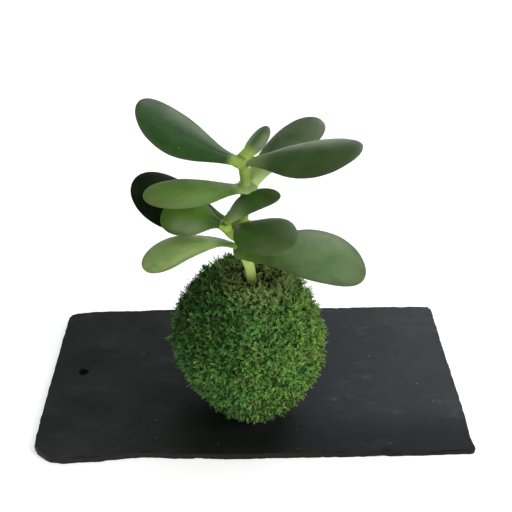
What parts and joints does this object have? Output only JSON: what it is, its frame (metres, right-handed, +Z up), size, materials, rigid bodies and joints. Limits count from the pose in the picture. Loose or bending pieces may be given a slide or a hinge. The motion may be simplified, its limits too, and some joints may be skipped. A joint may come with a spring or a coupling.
{
  "type": "kokedama moss ball plant",
  "caption": "Young jade plant growing from a moss-wrapped ball of soil that stands near the front edge of a thin rectangular slate tile.",
  "frame": {"origin": "middle of the slate tile's underside, which rests on the table", "axes": "+Z up, +X along the tile's length to the viewer's right, -Y towards the viewer, where the moss ball stands"},
  "size_m": [0.2512, 0.1457, 0.1948],
  "materials": {
    "slate": "split slate, dark grey, dull with a faint sheen",
    "moss": "living green moss, matt",
    "soil": "crumbly brown soil, matt",
    "stem": "smooth light green bark, satin",
    "leaf": "waxy dark green leaf, satin"
  },
  "bodies": {
    "root": {"slate_tile": "slate", "moss_wrap": "moss", "soil_core": "soil", "stem": "stem", "leaf_top_left": "leaf", "leaf_top_right": "leaf", "leaf_young": "leaf", "leaf_upper_left": "leaf", "leaf_upper_right": "leaf", "leaf_middle_left": "leaf", "leaf_middle_right": "leaf", "leaf_low_left": "leaf", "leaf_low_right": "leaf", "leaf_shoot_left": "leaf", "leaf_shoot_right": "leaf"}
  },
  "joints": []
}
